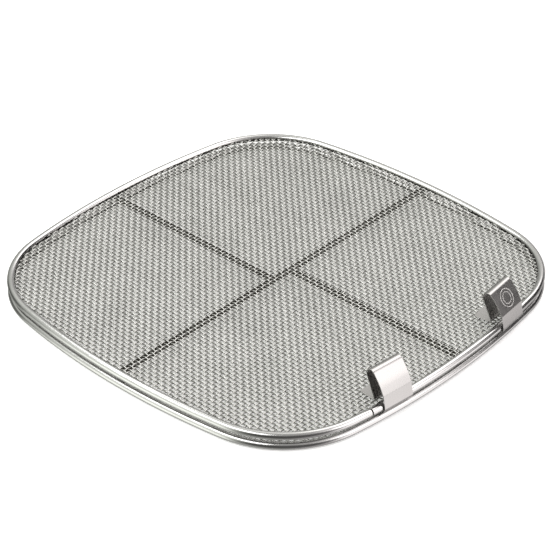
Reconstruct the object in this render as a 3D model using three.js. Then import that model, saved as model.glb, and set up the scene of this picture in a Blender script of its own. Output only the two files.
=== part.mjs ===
// Double-layer woven-wire screen: two rimmed screens of one size that lie one on the other,
// three flat support bars under the upper mesh, and two bent sheet clips on the upper rim.
// Millimetres, +Z up. The origin is at the bottom centre, and the clips stand on the -Y side.
import * as THREE from 'three';

// ---- driving dimensions ----
const RIM_HALF = 122.85;        // centre of the object to the bead's centreline, mid-side
const SIDE_RADIUS = 447;        // each side bulges outward on this radius
const CORNER_RADIUS = 55;       // at the bead's centreline
const BEAD_RADIUS = 2.15;       // outside of the rolled rim
const BEAD_BORE = 1.75;         // inside of the rolled rim
const BEAD_SIDES = 12;          // facets round the bead, one of them flat underneath
const SLOT_HALF = 1;            // half the height of the rim's slot, which faces inward
const CORE_RADIUS = 1.2;        // hoop wire rolled into the rim
const CORE_SIDES = 6;
const SEAM_GAP = 0.8;           // butt joint where the two ends of a rim meet
const LOWER_SEAM_X = 4;         // the lower rim's joint, on the +Y side
const UPPER_SEAM_X = -60.3;     // the upper rim's joint, on the -Y side beside the left clip
const RIM_STEPS = 96;
const SCREEN_RISE = 6;          // upper screen above the lower one
const MESH_THICKNESS = 1.4;     // two crossing wires of 0.7
const MESH_TUCK = 1.5;          // mesh edge ends this far inside the bead's centreline
const GAP = 0.3;                // clearance between neighbouring pieces
const BAR_WIDTH = 4.8;
const BAR_THICKNESS = 1;
const BAR_END = 2.6;            // a bar stops this far inside the bead's centreline
const LONG_BAR_Y = -3.2;
const REAR_BAR_X = -6.5;
const FRONT_BAR_X = 7.5;
const CLIP_WIDTH = 19.4;
const CLIP_SHEET = 0.6;
const CLIP_PLACES = { clip_left: -44, clip_right: 49 };   // X of each clip's middle

// A clip's corners and their bending radii, as (outward from the bead's axis, up from it). The
// fold's corner is where the two legs would meet, and its radius turns the strip well below that.
const FOOT_TIP_OUT = -15.4;
const HEEL_OUT = -4.4;
const HEEL_RADIUS = 1;
const FOLD = new THREE.Vector2(-19.74, 34.14);
const FOLD_RADIUS = 2.9;
const BOW = new THREE.Vector2(-1.7, 12.65);
const BOW_RADIUS = 25;
const KNEE = new THREE.Vector2(1.46, 6.9);
const KNEE_RADIUS = 2.5;
const HEM_END = THREE.MathUtils.degToRad(-80);            // where the hem stops under the bead
const BEND_STEPS = 4;                                     // facets in a slight bend
const FOLD_STEPS = 10;
const HEM_STEPS = 8;

const HALF_FACET = Math.PI / BEAD_SIDES;
const LOWER_Z = BEAD_RADIUS * Math.cos(HALF_FACET);       // the bead's flat lies on z = 0
const UPPER_Z = LOWER_Z + SCREEN_RISE;

// ---- the outline: four side arcs joined by four tangent corner arcs ----
const SIDE_CENTRE = RIM_HALF - SIDE_RADIUS;
const CORNER_REACH = SIDE_RADIUS - CORNER_RADIUS;
const CORNER_CENTRE = (SIDE_CENTRE + Math.sqrt(2 * CORNER_REACH ** 2 - SIDE_CENTRE ** 2)) / 2;
const SIDE_ANGLE = Math.atan2(CORNER_CENTRE, CORNER_CENTRE - SIDE_CENTRE);
const SIDE_LENGTH = 2 * SIDE_ANGLE * SIDE_RADIUS;
const CORNER_LENGTH = (Math.PI / 2 - 2 * SIDE_ANGLE) * CORNER_RADIUS;
const PERIMETER = 4 * (SIDE_LENGTH + CORNER_LENGTH);
const LOWER_SEAM = -SIDE_RADIUS * Math.asin(LOWER_SEAM_X / SIDE_RADIUS);
const UPPER_SEAM = PERIMETER / 2 + SIDE_RADIUS * Math.asin(UPPER_SEAM_X / SIDE_RADIUS);

// Point at a distance along the outline, anticlockwise from the middle of the +Y side.
function outlinePoint(distance, inset = 0) {
  const span = SIDE_LENGTH + CORNER_LENGTH;
  const shifted = (distance + SIDE_LENGTH / 2 + PERIMETER) % PERIMETER;
  const quarter = Math.floor(shifted / span);
  const along = shifted - quarter * span;
  const point = new THREE.Vector2();
  if (along <= SIDE_LENGTH) {
    const angle = along / SIDE_RADIUS - SIDE_ANGLE;
    const radius = SIDE_RADIUS - inset;
    point.set(-radius * Math.sin(angle), SIDE_CENTRE + radius * Math.cos(angle));
  } else {
    const angle = SIDE_ANGLE + (along - SIDE_LENGTH) / CORNER_RADIUS;
    const radius = CORNER_RADIUS - inset;
    point.set(-CORNER_CENTRE - radius * Math.sin(angle), CORNER_CENTRE + radius * Math.cos(angle));
  }
  return point.rotateAround(new THREE.Vector2(), quarter * Math.PI / 2);
}

// Runs once round the outline, from one side of a rim's joint to the other.
class RimCurve extends THREE.Curve {
  constructor(seam) {
    super();
    this.start = seam + SEAM_GAP / 2;
  }

  getPoint(t) {
    const point = outlinePoint(this.start + t * (PERIMETER - SEAM_GAP));
    return new THREE.Vector3(point.x, point.y, 0);
  }

  getPointAt(t) {
    return this.getPoint(t);
  }
}

// A bar's free end lies where its line meets the outline.
function outlineReach(offset, inset) {
  const radius = SIDE_RADIUS - inset;
  return SIDE_CENTRE + Math.sqrt(radius ** 2 - offset ** 2);
}

// ---- rims and their hoop wires ----
// Sections are drawn with x downward and y inward, as the sweep places them.
function ringPoint(radius, angle) {
  return new THREE.Vector2(-radius * Math.sin(angle), -radius * Math.cos(angle));
}

function beadSection() {
  const points = [];
  const outerLip = Math.PI - Math.asin(SLOT_HALF / BEAD_RADIUS);
  const innerLip = Math.PI - Math.asin(SLOT_HALF / BEAD_BORE);
  points.push(ringPoint(BEAD_RADIUS, outerLip));
  for (let k = BEAD_SIDES / 2 - 2; k >= 1 - BEAD_SIDES / 2; k -= 1) {
    points.push(ringPoint(BEAD_RADIUS, (2 * k + 1) * HALF_FACET));
  }
  points.push(ringPoint(BEAD_RADIUS, -outerLip));
  points.push(ringPoint(BEAD_BORE, -innerLip));
  for (const angle of [-Math.PI / 2, -Math.PI / 6, Math.PI / 6, Math.PI / 2]) {
    points.push(ringPoint(BEAD_BORE, angle));
  }
  points.push(ringPoint(BEAD_BORE, innerLip));
  return new THREE.Shape(points);
}

function coreSection() {
  const points = [];
  for (let k = 0; k < CORE_SIDES; k += 1) {
    points.push(ringPoint(CORE_RADIUS, k * 2 * Math.PI / CORE_SIDES));
  }
  return new THREE.Shape(points);
}

function sweep(section, seam) {
  return new THREE.ExtrudeGeometry(section, {
    steps: RIM_STEPS,
    extrudePath: new RimCurve(seam),
  });
}

// ---- mesh: the envelope of the woven wires ----
function meshSheet(seam) {
  const points = [];
  const start = seam + SEAM_GAP / 2;
  for (let k = 0; k < RIM_STEPS; k += 1) {
    points.push(outlinePoint(start + k / RIM_STEPS * (PERIMETER - SEAM_GAP), MESH_TUCK));
  }
  const sheet = new THREE.ExtrudeGeometry(new THREE.Shape(points), {
    depth: MESH_THICKNESS,
    bevelEnabled: false,
  });
  return sheet.translate(0, 0, -MESH_THICKNESS / 2);
}

// ---- clip: one strip, drawn as (outward from the bead's axis, up from it) ----
// Replaces a corner by an arc tangent to both of its sides.
function roundedCorner(before, corner, after, radius, steps) {
  const a = before.clone().sub(corner).normalize();
  const b = after.clone().sub(corner).normalize();
  const half = Math.acos(a.dot(b)) / 2;
  const middle = a.clone().add(b).normalize();
  const centre = corner.clone().addScaledVector(middle, radius / Math.sin(half));
  const start = corner.clone().addScaledVector(a, radius / Math.tan(half)).sub(centre);
  const turn = (Math.PI - 2 * half) * Math.sign(b.cross(a));
  const points = [];
  for (let k = 0; k <= steps; k += 1) {
    points.push(start.clone().rotateAround(new THREE.Vector2(), turn * k / steps).add(centre));
  }
  return points;
}

function clipCentreline() {
  const half = CLIP_SHEET / 2;
  const hemRadius = BEAD_RADIUS + GAP + half;
  const footHeight = MESH_THICKNESS / 2 + GAP + half;
  const footTip = new THREE.Vector2(FOOT_TIP_OUT, footHeight);
  const heel = new THREE.Vector2(HEEL_OUT, footHeight);
  const hemStart = Math.atan2(KNEE.y, KNEE.x) - Math.acos(hemRadius / KNEE.length());
  const onHem = (angle) => new THREE.Vector2(hemRadius, 0).rotateAround(new THREE.Vector2(), angle);
  const points = [footTip];
  points.push(...roundedCorner(footTip, heel, FOLD, HEEL_RADIUS, BEND_STEPS));
  points.push(...roundedCorner(heel, FOLD, BOW, FOLD_RADIUS, FOLD_STEPS));
  points.push(...roundedCorner(FOLD, BOW, KNEE, BOW_RADIUS, BEND_STEPS));
  points.push(...roundedCorner(BOW, KNEE, onHem(hemStart), KNEE_RADIUS, BEND_STEPS));
  for (let k = 0; k <= HEM_STEPS; k += 1) {
    points.push(onHem(hemStart + (HEM_END - hemStart) * k / HEM_STEPS));
  }
  return points;
}

// Thickens a centreline by half the sheet to each side.
function stripShape(line) {
  const left = [];
  const right = [];
  line.forEach((point, k) => {
    const before = line[Math.max(k - 1, 0)];
    const after = line[Math.min(k + 1, line.length - 1)];
    const along = after.clone().sub(before).normalize();
    const normal = new THREE.Vector2(-along.y, along.x).multiplyScalar(CLIP_SHEET / 2);
    left.push(point.clone().add(normal));
    right.push(point.clone().sub(normal));
  });
  return new THREE.Shape([...left, ...right.reverse()]);
}

// The strip is drawn in a plane and stands across the -Y side: its own x points outward (-Y),
// its own y points up, and its width runs along X.
function clipGeometry() {
  const strip = new THREE.ExtrudeGeometry(stripShape(clipCentreline()), {
    depth: CLIP_WIDTH,
    bevelEnabled: false,
  });
  strip.translate(0, 0, -CLIP_WIDTH / 2);
  strip.rotateX(Math.PI / 2);
  strip.rotateZ(-Math.PI / 2);
  return strip;
}

// ---- assembly ----
const steel = (color, roughness, metalness = 1) => (
  new THREE.MeshStandardMaterial({ color, roughness, metalness })
);

function named(name, geometry, material) {
  const mesh = new THREE.Mesh(geometry, material);
  mesh.name = name;
  return mesh;
}

function makeScreen(level, height, seam) {
  const screen = new THREE.Group();
  screen.position.z = height;
  screen.add(named(`${level}_rim`, sweep(beadSection(), seam), steel(0xc9c8c4, 0.25)));
  screen.add(named(`${level}_hoop_wire`, sweep(coreSection(), seam), steel(0x9c9b97, 0.45)));
  screen.add(named(`${level}_mesh`, meshSheet(seam), steel(0xa9a8a2, 0.4)));
  return screen;
}

function barMesh(name, length, x, y, alongY) {
  const bar = named(name, new THREE.BoxGeometry(length, BAR_WIDTH, BAR_THICKNESS), steel(0x6d6b67, 0.4));
  bar.position.set(x, y, -MESH_THICKNESS / 2 - GAP - BAR_THICKNESS / 2);
  bar.rotation.z = alongY ? Math.PI / 2 : 0;
  return bar;
}

// The long bar runs along X. The short ones run along Y, from beside it to the rim.
function addBars(screen) {
  const halfWidth = BAR_WIDTH / 2;
  // The outer corner of a bar's end is the first to meet the rim.
  const longReach = outlineReach(Math.abs(LONG_BAR_Y) + halfWidth, BAR_END);
  screen.add(barMesh('support_bar_long', 2 * longReach, 0, LONG_BAR_Y, false));
  const rearReach = outlineReach(Math.abs(REAR_BAR_X) + halfWidth, BAR_END);
  const rearStart = LONG_BAR_Y + halfWidth + GAP;
  const rearLength = rearReach - rearStart;
  const rearMiddle = (rearReach + rearStart) / 2;
  screen.add(barMesh('support_bar_rear', rearLength, REAR_BAR_X, rearMiddle, true));
  const frontReach = -outlineReach(Math.abs(FRONT_BAR_X) + halfWidth, BAR_END);
  const frontStart = LONG_BAR_Y - halfWidth - GAP;
  const frontLength = frontStart - frontReach;
  const frontMiddle = (frontReach + frontStart) / 2;
  screen.add(barMesh('support_bar_front', frontLength, FRONT_BAR_X, frontMiddle, true));
}

function addClips(screen) {
  for (const [name, x] of Object.entries(CLIP_PLACES)) {
    const clip = named(name, clipGeometry(), steel(0xd4d3d0, 0.3));
    const turn = Math.asin(x / SIDE_RADIUS);
    clip.position.set(x, -(SIDE_CENTRE + SIDE_RADIUS * Math.cos(turn)), 0);
    clip.rotation.z = turn;
    screen.add(clip);
  }
}

const group = new THREE.Group();
group.add(makeScreen('lower', LOWER_Z, LOWER_SEAM));
const upperScreen = makeScreen('upper', UPPER_Z, UPPER_SEAM);
addBars(upperScreen);
addClips(upperScreen);
group.add(upperScreen);

export default group;
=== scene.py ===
"""Double-layer woven-wire screen: the looks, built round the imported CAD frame. Metres, +Z up."""
import math

import bpy
import numpy as np
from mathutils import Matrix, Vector


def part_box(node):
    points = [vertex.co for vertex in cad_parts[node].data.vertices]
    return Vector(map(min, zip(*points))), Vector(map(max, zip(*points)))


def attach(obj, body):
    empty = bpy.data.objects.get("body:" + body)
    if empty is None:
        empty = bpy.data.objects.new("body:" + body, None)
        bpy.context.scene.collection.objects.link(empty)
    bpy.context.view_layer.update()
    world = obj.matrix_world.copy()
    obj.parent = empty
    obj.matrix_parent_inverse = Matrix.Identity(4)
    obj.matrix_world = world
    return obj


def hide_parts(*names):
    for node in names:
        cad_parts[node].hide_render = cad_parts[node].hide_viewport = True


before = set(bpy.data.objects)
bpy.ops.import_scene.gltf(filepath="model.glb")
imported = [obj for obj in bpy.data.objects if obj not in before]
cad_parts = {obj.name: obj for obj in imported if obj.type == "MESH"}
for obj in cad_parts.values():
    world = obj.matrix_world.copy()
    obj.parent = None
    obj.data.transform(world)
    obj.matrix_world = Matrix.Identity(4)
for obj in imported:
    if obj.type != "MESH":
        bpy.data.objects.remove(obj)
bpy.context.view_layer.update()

MM = 0.001

# ---- sizes, the same as the frame's ----
RIM_HALF = 122.85 * MM
SIDE_RADIUS = 447 * MM
CORNER_RADIUS = 55 * MM
BEAD_RADIUS = 2.15 * MM         # outside of the rolled rim
BEAD_BORE = 1.75 * MM           # inside of the rolled rim
BEAD_SIDES = 12                 # facets round the frame's bead, one of them flat underneath
SLOT_HALF = 1 * MM              # half the height of the rim's slot, which faces inward
SEAM_GAP = 0.8 * MM             # butt joint where the two ends of a rim meet
LOWER_SEAM_X = 4 * MM           # the lower rim's joint, on the +Y side
UPPER_SEAM_X = -60.3 * MM       # the upper rim's joint, on the -Y side beside the left clip
MESH_TUCK = 1.5 * MM            # the frame's mesh ends this far inside the bead's centreline
MESH_HALF = 0.7 * MM
WIRE_RADIUS = 0.35 * MM
CLIP_WIDTH = 19.4 * MM
CLIP_SHEET = 0.6 * MM
CLIP_GAP = 0.3 * MM             # clearance between a clip and the bead or the mesh
CLIP_PLACES = {"clip_left": -44 * MM, "clip_right": 49 * MM}   # X of each clip's middle

SIDE_CENTRE = RIM_HALF - SIDE_RADIUS
CORNER_REACH = SIDE_RADIUS - CORNER_RADIUS
CORNER_CENTRE = (SIDE_CENTRE + math.sqrt(2 * CORNER_REACH**2 - SIDE_CENTRE**2)) / 2
SIDE_ANGLE = math.atan2(CORNER_CENTRE, CORNER_CENTRE - SIDE_CENTRE)
SIDE_LENGTH = 2 * SIDE_ANGLE * SIDE_RADIUS
CORNER_LENGTH = (math.pi / 2 - 2 * SIDE_ANGLE) * CORNER_RADIUS
PERIMETER = 4 * (SIDE_LENGTH + CORNER_LENGTH)

# Distance along the outline of each rim's butt joint.
SEAMS = {
    "lower": -SIDE_RADIUS * math.asin(LOWER_SEAM_X / SIDE_RADIUS),
    "upper": PERIMETER / 2 + SIDE_RADIUS * math.asin(UPPER_SEAM_X / SIDE_RADIUS),
}


def middle_height(node):
    """Height of the middle of a CAD node."""
    low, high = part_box(node)
    return (low.z + high.z) / 2


LEVELS = {
    "lower": middle_height("lower_mesh"),
    "upper": middle_height("upper_mesh"),
}


# ---- the outline: four side arcs joined by four tangent corner arcs ----
def outline_frame(distance):
    """Point and outward direction at a distance along the outline, anticlockwise from mid +Y side."""
    span = SIDE_LENGTH + CORNER_LENGTH
    shifted = (distance + SIDE_LENGTH / 2) % PERIMETER
    quarter = int(shifted // span)
    along = shifted - quarter * span
    if along <= SIDE_LENGTH:
        angle = along / SIDE_RADIUS - SIDE_ANGLE
        centre = Vector((0, SIDE_CENTRE))
        radius = SIDE_RADIUS
    else:
        angle = SIDE_ANGLE + (along - SIDE_LENGTH) / CORNER_RADIUS
        centre = Vector((-CORNER_CENTRE, CORNER_CENTRE))
        radius = CORNER_RADIUS
    outward = Vector((-math.sin(angle), math.cos(angle)))
    point = centre + outward * radius
    turn = quarter * math.pi / 2
    c, s = math.cos(turn), math.sin(turn)
    return (
        Vector((c * point.x - s * point.y, s * point.x + c * point.y)),
        Vector((c * outward.x - s * outward.y, s * outward.x + c * outward.y)),
    )


def outline_reach(offset, inset):
    """How far a line at this offset from the middle runs before it leaves the inset outline."""
    offset = abs(offset)
    side = SIDE_RADIUS - inset
    corner = CORNER_RADIUS - inset
    if offset <= side * math.sin(SIDE_ANGLE):
        return SIDE_CENTRE + math.sqrt(side**2 - offset**2)
    if offset <= CORNER_CENTRE + corner * math.cos(SIDE_ANGLE):
        return CORNER_CENTRE + math.sqrt(corner**2 - (offset - CORNER_CENTRE) ** 2)
    if offset < SIDE_CENTRE + side:
        return math.sqrt(side**2 - (offset - SIDE_CENTRE) ** 2)
    return 0.0


# ---- mesh building ----
def make_object(name, points, faces, smooth=True, uv=None):
    """faces is a list of index tuples, or an N by 4 array of quads. uv holds one pair per point."""
    data = bpy.data.meshes.new(name)
    data.from_pydata([tuple(p) for p in points], [], [tuple(f) for f in faces])
    if uv is not None:
        layer = data.uv_layers.new(name="along")
        corner_points = np.empty(len(data.loops), dtype=np.int32)
        data.loops.foreach_get("vertex_index", corner_points)
        layer.data.foreach_set("uv", np.asarray(uv, dtype=np.float32)[corner_points].ravel())
    data.polygons.foreach_set("use_smooth", [smooth] * len(data.polygons))
    data.update()
    data.validate()
    obj = bpy.data.objects.new(name, data)
    bpy.context.scene.collection.objects.link(obj)
    return obj


def tube_faces(start, rings, sides):
    """Quads between the rings of a tube, and a cap at each end, whose points begin at start."""
    faces = []
    for r in range(rings - 1):
        a = start + r * sides
        for k in range(sides):
            n = (k + 1) % sides
            faces.append((a + k, a + n, a + sides + n, a + sides + k))
    faces.append(tuple(start + k for k in reversed(range(sides))))
    last = start + (rings - 1) * sides
    faces.append(tuple(last + k for k in range(sides)))
    return faces


SHARP_ANGLE = math.radians(50)
EDGE_SEGMENTS = 2


def round_edges(piece, name, width):
    """Bevels the edges of a bent strip that turn by more than the sharp angle."""
    edge = piece.modifiers.new(name, "BEVEL")
    edge.width = width
    edge.segments = EDGE_SEGMENTS
    edge.limit_method = "ANGLE"
    edge.angle_limit = SHARP_ANGLE
    edge.harden_normals = True


# ---- rims: strip rolled to a bead with its slot facing inward ----
RIM_STEPS = 420
OUTER_POINTS = 37
INNER_POINTS = 17
LIP_ROUND = 0.08 * MM


def bead_section():
    """(outward, up) points of the rolled strip: its outside from the upper lip, then its bore.

    The outside is flat underneath, as the frame's bead is.
    """
    outer_lip = math.pi - math.asin(SLOT_HALF / BEAD_RADIUS)
    inner_lip = math.pi - math.asin(SLOT_HALF / BEAD_BORE)
    flat = -BEAD_RADIUS * math.cos(math.pi / BEAD_SIDES)
    points = []
    for angle in np.linspace(outer_lip, -outer_lip, OUTER_POINTS):
        up = max(BEAD_RADIUS * math.sin(angle), flat)
        points.append((BEAD_RADIUS * math.cos(angle), up))
    for angle in np.linspace(-inner_lip, inner_lip, INNER_POINTS):
        points.append((BEAD_BORE * math.cos(angle), BEAD_BORE * math.sin(angle)))
    return points


def make_rim(level):
    """One rolled rim at its cloth's height, open at its butt joint."""
    section = bead_section()
    sides = len(section)
    start = SEAMS[level] + SEAM_GAP / 2
    around = np.cumsum([0] + [math.dist(section[k], section[k + 1]) for k in range(sides - 1)])
    points, uv = [], []
    for step in range(RIM_STEPS + 1):
        distance = start + step / RIM_STEPS * (PERIMETER - SEAM_GAP)
        centre, outward = outline_frame(distance)
        for k, (out, up) in enumerate(section):
            flat = centre + outward * out
            points.append((flat.x, flat.y, LEVELS[level] + up))
            uv.append((distance, around[k]))
    rim = make_object(f"{level}_rim_bead", points, tube_faces(0, RIM_STEPS + 1, sides), uv=uv)
    round_edges(rim, "lips", LIP_ROUND)
    return rim


# ---- woven cloth: each wire passes over one crossing wire and under the next ----
WIRE_SIDES = 5
WIRE_COUNT = 47                          # wires on each side of the middle one
WEAVE_CLEARANCE = 0.01 * MM
WEAVE_RISE = WIRE_RADIUS + WEAVE_CLEARANCE
WIRE_TUCK = MESH_TUCK + 0.1 * MM         # the wires end just inside the frame's mesh edge
SHORTEST_REACH = 6 * MM                  # a wire with less on each side of its middle is left out
PLACE_SCATTER = 0.05 * MM                # how far a wire lies off its even place, at most
WANDER = (0.02 * MM, 0.07 * MM)          # how far a wire strays sideways along its length
WANDER_LENGTH = 38 * MM
FIRST_SEED = 11
# Pitch of each cloth, and where its middle wires lie. The lower one is woven 1 % wider.
CLOTHS = {"lower": (2.565 * MM, 0.88 * MM), "upper": (2.54 * MM, 0)}


def make_wires(name, level, along_x, seed):
    """One cloth's wires in one direction, which rise and fall over the wires that cross them."""
    height = LEVELS[level]
    pitch, shift = CLOTHS[level]
    draw = np.random.default_rng(seed)
    ring = np.arange(WIRE_SIDES) * 2 * math.pi / WIRE_SIDES
    points, faces = [], []
    for j in range(-WIRE_COUNT, WIRE_COUNT + 1):
        place = j * pitch + shift + draw.uniform(-PLACE_SCATTER, PLACE_SCATTER)
        wander = draw.uniform(*WANDER)
        phase = draw.uniform(0, 2 * math.pi)
        reach = outline_reach(place, WIRE_TUCK)
        if reach < SHORTEST_REACH:
            continue
        half_steps = int((reach - shift) / (pitch / 2))
        line = np.arange(-half_steps, half_steps + 1) * pitch / 2 + shift
        line = np.concatenate([[-reach], line[1:-1], [reach]])
        sign = 1 if along_x else -1
        up = sign * WEAVE_RISE * np.cos(math.pi * ((line - shift) / pitch + j))
        side = place + wander * np.sin(line / WANDER_LENGTH + phase)
        lean = np.arctan(np.gradient(up, line))
        start = len(points) * WIRE_SIDES
        for s, u, w, a in zip(line, up, side, lean):
            across = w + WIRE_RADIUS * np.cos(ring)
            lift = WIRE_RADIUS * np.sin(ring)
            ahead = s - lift * math.sin(a)
            rise = height + u + lift * math.cos(a)
            ahead = np.clip(ahead, -reach, reach)
            points.append(np.stack([ahead, across, rise] if along_x else [across, ahead, rise], -1))
        faces += tube_faces(start, len(line), WIRE_SIDES)
    points = np.concatenate(points)
    if not along_x:
        faces = [tuple(reversed(f)) for f in faces]
    return make_object(name, points, faces)


# ---- clips: one bent strip each, drawn as (outward from the bead's axis, up from it) ----
def rounded_corner(before, corner, after, radius, steps):
    """Points of the arc that replaces a corner, tangent to both of its sides."""
    a = (before - corner).normalized()
    b = (after - corner).normalized()
    half = a.angle(b) / 2
    centre = corner + (a + b).normalized() * (radius / math.sin(half))
    start = corner + a * (radius / math.tan(half)) - centre
    turn = (math.pi - 2 * half) * (1 if b.x * a.y - b.y * a.x > 0 else -1)
    arc = []
    for k in range(steps + 1):
        angle = turn * k / steps
        c, s = math.cos(angle), math.sin(angle)
        arc.append(centre + Vector((c * start.x - s * start.y, s * start.x + c * start.y)))
    return arc


# Corners and bending radii, the same as the frame's. The fold's corner is where the two legs
# would meet, and its radius turns the strip well below that.
FOOT_UP = MESH_HALF + CLIP_GAP + CLIP_SHEET / 2
FOOT_TIP = Vector((-15.4 * MM, FOOT_UP))
HEEL = Vector((-4.4 * MM, FOOT_UP))
HEEL_RADIUS = 1 * MM
FOLD = Vector((-19.74 * MM, 34.14 * MM))
FOLD_RADIUS = 2.9 * MM
BOW = Vector((-1.7 * MM, 12.65 * MM))
BOW_RADIUS = 25 * MM
KNEE = Vector((1.46 * MM, 6.9 * MM))
KNEE_RADIUS = 2.5 * MM
HEM_RADIUS = BEAD_RADIUS + CLIP_GAP + CLIP_SHEET / 2
HEM_START = math.atan2(KNEE.y, KNEE.x) - math.acos(HEM_RADIUS / KNEE.length)
HEM_END = math.radians(-80)

FOOT_SHARES = (0, 0.05, 0.1, 0.15, 0.2, 0.25, 0.6)   # closer at the tip, whose corners are rounded
HEEL_STEPS = 8
FOLD_STEPS = 24
BOW_STEPS = 12
KNEE_STEPS = 10
HEM_STEPS = 20


def clip_centreline():
    """The bent strip's middle line, from the foot's tip to the hem's end under the bead."""
    def on_hem(angle):
        return Vector((math.cos(angle), math.sin(angle))) * HEM_RADIUS

    line = [FOOT_TIP.lerp(HEEL, share) for share in FOOT_SHARES]
    line += rounded_corner(FOOT_TIP, HEEL, FOLD, HEEL_RADIUS, HEEL_STEPS)
    line += rounded_corner(HEEL, FOLD, BOW, FOLD_RADIUS, FOLD_STEPS)
    line += rounded_corner(FOLD, BOW, KNEE, BOW_RADIUS, BOW_STEPS)
    line += rounded_corner(BOW, KNEE, on_hem(HEM_START), KNEE_RADIUS, KNEE_STEPS)
    for k in range(1, HEM_STEPS + 1):
        line.append(on_hem(HEM_START + (HEM_END - HEM_START) * k / HEM_STEPS))
    return line


def clip_axes(name):
    """Middle of the clip on the bead's axis, its outward direction and its direction along the rim."""
    x = CLIP_PLACES[name]
    turn = math.asin(x / SIDE_RADIUS)
    origin = Vector((x, -(SIDE_CENTRE + SIDE_RADIUS * math.cos(turn)), LEVELS["upper"]))
    outward = Vector((math.sin(turn), -math.cos(turn), 0))
    across = Vector((math.cos(turn), math.sin(turn), 0))
    return origin, outward, across


CORNER_ROUND = 1 * MM       # radius of the two corners at the foot's tip
CLIP_COLUMNS = 8
CLIP_EDGE_ROUND = 0.12 * MM


def make_clip(name):
    """One clip: the centreline thickened to a strip whose foot has two round corners."""
    origin, outward, across = clip_axes(name)
    line = clip_centreline()
    lengths = np.cumsum([0] + [(b - a).length for a, b in zip(line, line[1:])])
    points, uv = [], []
    for k, point in enumerate(line):
        along = (line[min(k + 1, len(line) - 1)] - line[max(k - 1, 0)]).normalized()
        normal = Vector((-along.y, along.x)) * (CLIP_SHEET / 2)
        half_width = CLIP_WIDTH / 2
        if lengths[k] < CORNER_ROUND:
            half_width -= CORNER_ROUND - math.sqrt(CORNER_ROUND**2 - (CORNER_ROUND - lengths[k]) ** 2)
        columns = range(CLIP_COLUMNS + 1)
        for face, order in ((point + normal, columns), (point - normal, reversed(columns))):
            for c in order:
                shift = (2 * c / CLIP_COLUMNS - 1) * half_width
                place = origin + outward * face.x + across * shift + Vector((0, 0, face.y))
                points.append(place)
                uv.append((lengths[k], shift))
    sides = 2 * (CLIP_COLUMNS + 1)
    clip = make_object(f"{name}_strip", points, tube_faces(0, len(line), sides), uv=uv)
    round_edges(clip, "edges", CLIP_EDGE_ROUND)
    return clip


MARK_RADII = (4.9 * MM, 3.1 * MM)
MARK_LINE_HALF = 0.17 * MM      # half the width of a ring's line
MARK_DEPTH = 0.015 * MM         # half the thickness of a ring
MARK_STEPS = 64
MARK_TILT = 0.35                # share of the upper leg's slope in the mark's plane
MARK_RISE = 0.4 * MM            # the mark's centre lies this far up the strip from the bow's corner
MARK_SINK = 0.1 * MM            # and this far behind the outside of the strip's corner there


def make_mark(name):
    """A plain double ring on the clip's sloping face, in place of an etched mark."""
    origin, outward, across = clip_axes(name)
    facet = (KNEE - BOW).lerp(BOW - FOLD, MARK_TILT).normalized()
    normal = Vector((-facet.y, facet.x))
    centre = BOW - facet * MARK_RISE + normal * (CLIP_SHEET / 2 - MARK_SINK)
    section = (
        (-MARK_LINE_HALF, -MARK_DEPTH),
        (MARK_LINE_HALF, -MARK_DEPTH),
        (MARK_LINE_HALF, MARK_DEPTH),
        (-MARK_LINE_HALF, MARK_DEPTH),
    )
    sides = len(section)
    points, faces = [], []
    for middle in MARK_RADII:
        start = len(points)
        for k in range(MARK_STEPS):
            angle = 2 * math.pi * k / MARK_STEPS
            for wide, high in section:
                down = (middle + wide) * math.sin(angle)
                spot = centre + facet * down + normal * high
                place = origin + outward * spot.x + Vector((0, 0, spot.y))
                points.append(place + across * ((middle + wide) * math.cos(angle)))
        for k in range(MARK_STEPS):
            here = start + sides * k
            ahead = start + sides * ((k + 1) % MARK_STEPS)
            for c in range(sides):
                d = (c + 1) % sides
                faces.append((here + c, here + d, ahead + d, ahead + c))
    return make_object(f"{name}_mark", points, faces, smooth=False)


# ---- materials ----
GRAIN_DETAIL = 4
PATCH_DETAIL = 2
PATCH_SCALE = 60
PATCH_SHARE = 0.45          # share of the patches in the mix, the rest is the grain
MIX_RANGE = (0.3, 0.7)      # the part of the mix that runs from dark to light
GRAIN_HEIGHT = 0.05 * MM
PLAIN = (1, 1, 1)


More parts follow.
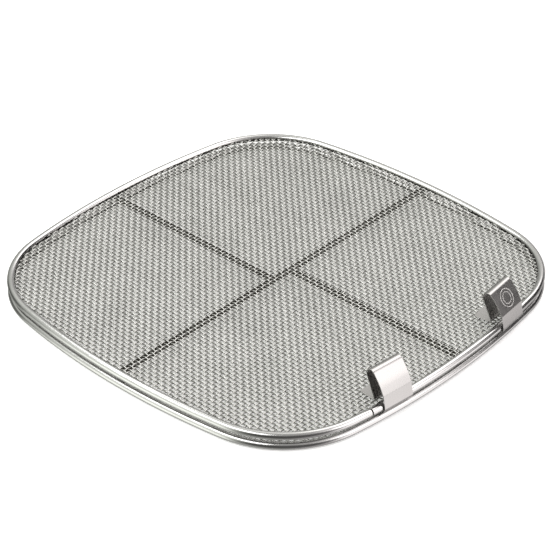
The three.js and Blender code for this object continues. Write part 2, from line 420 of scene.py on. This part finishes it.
def steel(name, dark, light, rough, fine, coordinate="Object", stretch=PLAIN, bump=0.05):
    """Stainless steel: streaks or grain over slow patches.

    Colour and roughness follow the mix of grain and patches, and the bump follows the grain.
    """
    material = bpy.data.materials.new(name)
    material.use_nodes = True
    nodes, links = material.node_tree.nodes, material.node_tree.links
    shader = nodes["Principled BSDF"]
    shader.inputs["Metallic"].default_value = 1
    place = nodes.new("ShaderNodeTexCoord")
    scale = nodes.new("ShaderNodeMapping")
    scale.inputs["Scale"].default_value = stretch
    links.new(place.outputs[coordinate], scale.inputs["Vector"])
    grain = nodes.new("ShaderNodeTexNoise")
    grain.inputs["Scale"].default_value = fine
    grain.inputs["Detail"].default_value = GRAIN_DETAIL
    links.new(scale.outputs["Vector"], grain.inputs["Vector"])
    slow = nodes.new("ShaderNodeTexNoise")
    slow.inputs["Scale"].default_value = PATCH_SCALE
    slow.inputs["Detail"].default_value = PATCH_DETAIL
    links.new(place.outputs["Object"], slow.inputs["Vector"])
    both = nodes.new("ShaderNodeMix")
    both.inputs["Factor"].default_value = PATCH_SHARE
    links.new(grain.outputs["Fac"], both.inputs["A"])
    links.new(slow.outputs["Fac"], both.inputs["B"])
    tone = nodes.new("ShaderNodeValToRGB")
    tone.color_ramp.elements[0].position = MIX_RANGE[0]
    tone.color_ramp.elements[0].color = (*dark, 1)
    tone.color_ramp.elements[1].position = MIX_RANGE[1]
    tone.color_ramp.elements[1].color = (*light, 1)
    links.new(both.outputs["Result"], tone.inputs["Fac"])
    links.new(tone.outputs["Color"], shader.inputs["Base Color"])
    spread = nodes.new("ShaderNodeMapRange")
    spread.inputs["From Min"].default_value = MIX_RANGE[0]
    spread.inputs["From Max"].default_value = MIX_RANGE[1]
    spread.inputs["To Min"].default_value = rough[0]
    spread.inputs["To Max"].default_value = rough[1]
    links.new(both.outputs["Result"], spread.inputs["Value"])
    links.new(spread.outputs["Result"], shader.inputs["Roughness"])
    height = nodes.new("ShaderNodeBump")
    height.inputs["Strength"].default_value = bump
    height.inputs["Distance"].default_value = GRAIN_HEIGHT
    links.new(grain.outputs["Fac"], height.inputs["Height"])
    links.new(height.outputs["Normal"], shader.inputs["Normal"])
    return material


RIM_STEEL = steel(
    "rolled_rim_steel",
    dark=(0.515, 0.511, 0.507),
    light=(0.615, 0.611, 0.607),
    rough=(0.18, 0.28),
    fine=700,
    coordinate="UV",
    stretch=(0.06, 2.5, 1),
)
WIRE_STEEL = steel(
    "woven_wire_steel",
    dark=(0.38, 0.38, 0.364),
    light=(0.58, 0.578, 0.56),
    rough=(0.16, 0.3),
    fine=500,
)
# Painted shade: the support bars are coloured near black to stand for the shade they lie in between the
# two cloths.
BAR_PAINTED_SHADE_STEEL = steel(
    "bar_steel",
    dark=(0.05, 0.047, 0.04),
    light=(0.1, 0.094, 0.082),
    rough=(0.4, 0.6),
    fine=800,
    bump=0.15,
)
HOOP_STEEL = steel(
    "hoop_wire_steel",
    dark=(0.42, 0.41, 0.39),
    light=(0.6, 0.59, 0.57),
    rough=(0.35, 0.55),
    fine=700,
)
CLIP_STEEL = steel(
    "clip_steel",
    dark=(0.39, 0.382, 0.376),
    light=(0.47, 0.46, 0.453),
    rough=(0.24, 0.32),
    fine=800,
    coordinate="UV",
    stretch=(0.08, 5, 1),
    bump=0.02,
)
MARK_STEEL = steel(
    "etched_steel",
    dark=(0.66, 0.65, 0.64),
    light=(0.82, 0.81, 0.8),
    rough=(0.55, 0.75),
    fine=2500,
    bump=0.4,
)


def finish_piece(piece, body, material, slot, *nodes):
    """Gives a piece its material, ties it to a body, and hides the CAD nodes it stands for. The slot is
    not used.
    """
    piece.data.materials.append(material)
    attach(piece, body)
    if nodes:
        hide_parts(*nodes)


def recolour(node, material):
    """Gives a CAD node that stays visible its Blender material."""
    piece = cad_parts[node]
    piece.data.materials.clear()
    piece.data.materials.append(material)
    return piece


# ---- assembly ----
BAR_EDGE_ROUND = 0.2 * MM
BAR_EDGE_SEGMENTS = 3

for number, level in enumerate(("lower", "upper")):
    body = f"{level}_screen"
    finish_piece(make_rim(level), body, RIM_STEEL, "rim_steel", f"{level}_rim")
    for along_x, word in ((True, "weft"), (False, "warp")):
        seed = FIRST_SEED + 2 * number + along_x
        wires = make_wires(f"{level}_{word}_wires", level, along_x, seed)
        finish_piece(wires, body, WIRE_STEEL, "mesh_steel", f"{level}_mesh")
    recolour(f"{level}_hoop_wire", HOOP_STEEL)

for name in ("support_bar_long", "support_bar_rear", "support_bar_front"):
    edge = recolour(name, BAR_PAINTED_SHADE_STEEL).modifiers.new("edges", "BEVEL")
    edge.width = BAR_EDGE_ROUND
    edge.segments = BAR_EDGE_SEGMENTS

for name, body in (("clip_left", "left_clip"), ("clip_right", "right_clip")):
    finish_piece(make_clip(name), body, CLIP_STEEL, "clip_steel", name)
finish_piece(make_mark("clip_right"), "right_clip", MARK_STEEL, "clip_steel")


# ---- floor, light and camera ----
FLOOR_HALF = 3
FLOOR_DROP = 0.2 * MM       # clearance under the screen's flat underside
FLOOR_COLOUR = (0.93, 0.93, 0.93, 1)
FLOOR_ROUGHNESS = 0.9
FLOOR_GLOW = 0.35           # a little light of its own, so that the floor renders white


def make_floor():
    """A plain pale floor, which the steel doesn't mirror."""
    half = FLOOR_HALF
    corners = [(-half, -half, 0), (half, -half, 0), (half, half, 0), (-half, half, 0)]
    floor = make_object("floor", corners, [(0, 1, 2, 3)], smooth=False)
    floor.location.z = -FLOOR_DROP
    material = bpy.data.materials.new("floor")
    material.use_nodes = True
    shader = material.node_tree.nodes["Principled BSDF"]
    shader.inputs["Base Color"].default_value = FLOOR_COLOUR
    shader.inputs["Roughness"].default_value = FLOOR_ROUGHNESS
    shader.inputs["Emission Color"].default_value = (1, 1, 1, 1)
    shader.inputs["Emission Strength"].default_value = FLOOR_GLOW
    floor.data.materials.append(material)
    floor.visible_glossy = False


def aim(obj, target):
    obj.rotation_mode = "QUATERNION"
    obj.rotation_quaternion = (Vector(target) - obj.location).to_track_quat("-Z", "Y")


def add_light(name, place, size, power, target):
    data = bpy.data.lights.new(name, "AREA")
    data.shape = "RECTANGLE"
    data.size, data.size_y = size
    data.energy = power
    light = bpy.data.objects.new(name, data)
    light.location = place
    bpy.context.scene.collection.objects.link(light)
    aim(light, target)


def toward(azimuth, elevation):
    """Unit vector at an azimuth from +X towards +Y and an elevation, both in degrees."""
    turn, lift = math.radians(azimuth), math.radians(elevation)
    level_part = math.cos(lift)
    return Vector((level_part * math.cos(turn), level_part * math.sin(turn), math.sin(lift)))


GROUND_BLEND = -0.1                  # sine of the elevation below which all is ground
EDGE_BLEND = (-0.015, 0.045)         # cosines to its edge direction between which a flag sets in
TINT_SPAN = 0.7                      # cosine to the tint's direction at which it is full
TINT_TOWARD = toward(130, 0)
PINKISH = (1, 0.965, 0.958, 1)
GREENISH = (0.975, 1, 0.93, 1)


def add_world(ground, low, high, glows, flags):
    """A studio: ground below, low at the horizon, high overhead, with soft glows and dark flags.

    A glow is a direction, its full and its outer angle in degrees, and its strength. A flag is a
    direction, the two angles, the share of light it stops, and one more direction that bounds it by
    a straight edge. The light is pinkish on one side and greenish on the other.
    """
    world = bpy.data.worlds.new("studio")
    bpy.context.scene.world = world
    world.use_nodes = True
    nodes, links = world.node_tree.nodes, world.node_tree.links
    place = nodes.new("ShaderNodeTexCoord")

    def facing(direction, from_low, from_high, to_low, to_high):
        """A smooth step over the cosine between the view and the direction."""
        dot = nodes.new("ShaderNodeVectorMath")
        dot.operation = "DOT_PRODUCT"
        dot.inputs[1].default_value = direction
        links.new(place.outputs["Generated"], dot.inputs[0])
        ramp = nodes.new("ShaderNodeMapRange")
        ramp.interpolation_type = "SMOOTHSTEP"
        ramp.inputs["From Min"].default_value = from_low
        ramp.inputs["From Max"].default_value = from_high
        ramp.inputs["To Min"].default_value = to_low
        ramp.inputs["To Max"].default_value = to_high
        links.new(dot.outputs["Value"], ramp.inputs["Value"])
        return ramp.outputs["Result"]

    def spot(direction, inner, outer, strength):
        return facing(direction, math.cos(math.radians(outer)), math.cos(math.radians(inner)), 0, strength)

    def combine(operation, first, second):
        step = nodes.new("ShaderNodeMath")
        step.operation = operation
        for value, socket in ((first, step.inputs[0]), (second, step.inputs[1])):
            if isinstance(value, float):
                socket.default_value = value
            else:
                links.new(value, socket)
        return step.outputs["Value"]

    overhead = toward(0, 90)
    below = facing(overhead, GROUND_BLEND, 0, ground - low, 0)
    total = combine("ADD", below, facing(overhead, 0, 1, low, high))
    for glow in glows:
        total = combine("ADD", total, spot(*glow))
    for direction, inner, outer, share, edge in flags:
        shade = spot(direction, inner, outer, share)
        held = combine("MULTIPLY", shade, facing(edge, *EDGE_BLEND, 0, 1))
        total = combine("MULTIPLY", total, combine("SUBTRACT", 1.0, held))
    background = nodes["Background"]
    tint = nodes.new("ShaderNodeValToRGB")
    tint.color_ramp.elements[0].color = PINKISH
    tint.color_ramp.elements[1].color = GREENISH
    links.new(facing(TINT_TOWARD, -TINT_SPAN, TINT_SPAN, 0, 1), tint.inputs["Fac"])
    links.new(tint.outputs["Color"], background.inputs["Color"])
    links.new(total, background.inputs["Strength"])


GLOWS = (
    (toward(2, 50), 13, 26, 2.1),
    (toward(156, 12), 12, 38, 0.7),
    (toward(146, -22), 12, 32, 1.1),
    (toward(-66, 25), 13, 27, 2.4),
    (toward(-60, -22), 13, 32, 1.2),
)
# Normal of the plane that keeps the right clip's flag out of what the left clip mirrors.
BETWEEN_CLIPS = Vector((0.767, 0.510, -0.389))
FLAGS = (
    (toward(-26, 18), 22, 30, 0.95, BETWEEN_CLIPS),
    (toward(-137, 0), 30, 60, 0.75, toward(-137, 0)),
    (toward(106, -5), 17, 30, 0.65, toward(106, -5)),
    (toward(-137, 68), 14, 34, 0.55, toward(-137, 68)),
)

make_floor()
add_world(ground=0.55, low=0.3, high=1.1, glows=GLOWS, flags=FLAGS)
add_light("left_softbox", place=(-0.85, 0.22, 1.15), size=(1.5, 0.42), power=9.5, target=(0, 0, 0))
add_light("rear_softbox", place=(0, 0.35, 0.47), size=(0.3, 0.1), power=0.28, target=(-0.12, 0, 0))
bpy.context.scene.view_settings.view_transform = "Standard"

CAMERA_AZIMUTH = math.radians(-47.16)
CAMERA_ELEVATION = math.radians(34.03)
CAMERA_DISTANCE = 1.0961
CAMERA_TARGET = Vector((-3.65 * MM, -2.48 * MM, LEVELS["upper"] - 0.3 * MM))
SENSOR_WIDTH = 36       # of the sensor and the lens, in millimetres as Blender takes them
FOCAL_LENGTH = 132.24
camera_data = bpy.data.cameras.new("camera")
camera_data.sensor_width = SENSOR_WIDTH
camera_data.lens = FOCAL_LENGTH
camera = bpy.data.objects.new("camera", camera_data)
bpy.context.scene.collection.objects.link(camera)
level_out = math.cos(CAMERA_ELEVATION) * CAMERA_DISTANCE
camera.location = CAMERA_TARGET + Vector((
    math.sin(CAMERA_AZIMUTH) * level_out,
    -math.cos(CAMERA_AZIMUTH) * level_out,
    math.sin(CAMERA_ELEVATION) * CAMERA_DISTANCE,
))
aim(camera, CAMERA_TARGET)
bpy.context.scene.camera = camera
